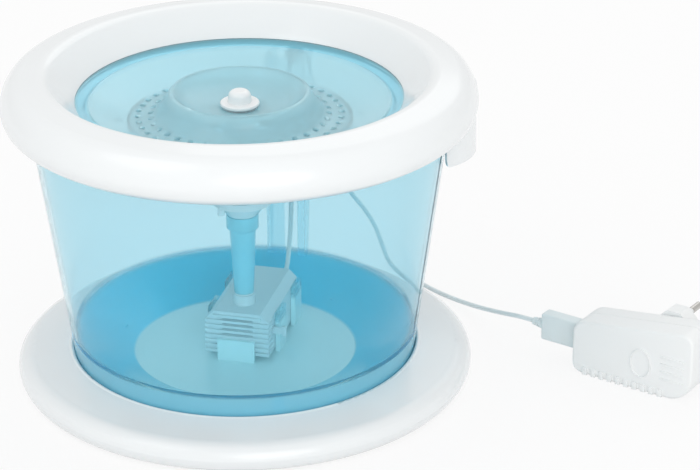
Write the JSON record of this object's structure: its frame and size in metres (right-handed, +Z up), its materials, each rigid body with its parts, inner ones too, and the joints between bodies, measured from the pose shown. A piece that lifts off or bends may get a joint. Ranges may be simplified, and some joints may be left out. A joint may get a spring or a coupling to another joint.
{
  "type": "pet water fountain",
  "caption": "Round pet drinking fountain: clear tub on a saucer base, ring lid with drinking dish, submersible pump, cord and plug-in adapter.",
  "frame": {"origin": "centre of the base on the table", "axes": "+Z up, +Y to the rear where the cable duct is, X = Y = 0 is the axis of the riser"},
  "size_m": [0.3842, 0.2771, 0.1775],
  "materials": {
    "white_plastic": "glossy moulded white",
    "blue_clear_plastic": "glossy translucent light blue plastic",
    "dish_plastic": "glossy milky translucent light blue plastic",
    "pump_plastic": "satin off-white",
    "clear_pipe_plastic": "translucent blue tube",
    "rubber_white": "matt pale rubber",
    "foam": "open-cell foam",
    "steel": "plain steel",
    "nickel": "nickel-plated",
    "copper": "enamelled copper wire",
    "magnet": "bonded ferrite",
    "cord_skin": "smooth pale cord",
    "adapter_plastic": "satin moulded off-white",
    "board": "circuit board"
  },
  "bodies": {
    "stand": {"base_tray": "white_plastic", "tub": "blue_clear_plastic", "cable_duct": "blue_clear_plastic", "riser_tube": "clear_pipe_plastic", "pump_housing": "pump_plastic", "pump_back_plate": "pump_plastic", "pump_front_cover": "pump_plastic", "chamber_cover": "pump_plastic", "coil_bobbin": "pump_plastic", "base_feet": "rubber_white", "cable_grommet": "rubber_white", "outlet_seal": "rubber_white", "pump_feet": "rubber_white", "lead_gland": "rubber_white", "shaft_bushes": "rubber_white", "intake_foam": "foam", "base_screws": "steel", "impeller_shaft": "steel", "stator_core": "steel", "usb_shell": "nickel", "stator_coil": "copper", "pump_lead": "cord_skin", "supply_cord": "cord_skin", "strain_relief": "cord_skin", "usb_plug": "cord_skin"},
    "lid": {"top_ring": "white_plastic", "drinking_dish": "dish_plastic", "strainer": "blue_clear_plastic", "filter_pad": "foam", "filter_tray": "blue_clear_plastic", "nozzle_seat": "white_plastic"},
    "cap": {"nozzle_cap": "white_plastic"},
    "rotor": {"impeller": "pump_plastic", "rotor_magnet": "magnet"},
    "gate": {"flow_gate": "pump_plastic"},
    "adapter": {"adapter_front_shell": "adapter_plastic", "adapter_rear_shell": "adapter_plastic", "plug_pins": "nickel", "pin_sleeves": "adapter_plastic", "usb_socket": "nickel", "adapter_board": "board", "transformer": "adapter_plastic"}
  },
  "joints": [
    {"name": "lid_lift", "type": "slide", "parent": "stand", "child": "lid", "axis": [0, 0, 1], "range_m": [0, 0.09]},
    {"name": "cap_pull", "type": "slide", "parent": "lid", "child": "cap", "axis": [0, 0, 1], "range_m": [0, 0.025]},
    {"name": "impeller_spin", "type": "hinge", "parent": "stand", "child": "rotor", "pos_m": [0, 0, 0.027], "axis": [0, 1, 0], "continuous": true},
    {"name": "gate_slide", "type": "slide", "parent": "stand", "child": "gate", "axis": [-1, 0, 0], "range_m": [0, 0.005]},
    {"name": "adapter_unplug", "type": "slide", "parent": "stand", "child": "adapter", "axis": [0.9348, -0.3551, 0], "range_m": [0, 0.016]}
  ]
}
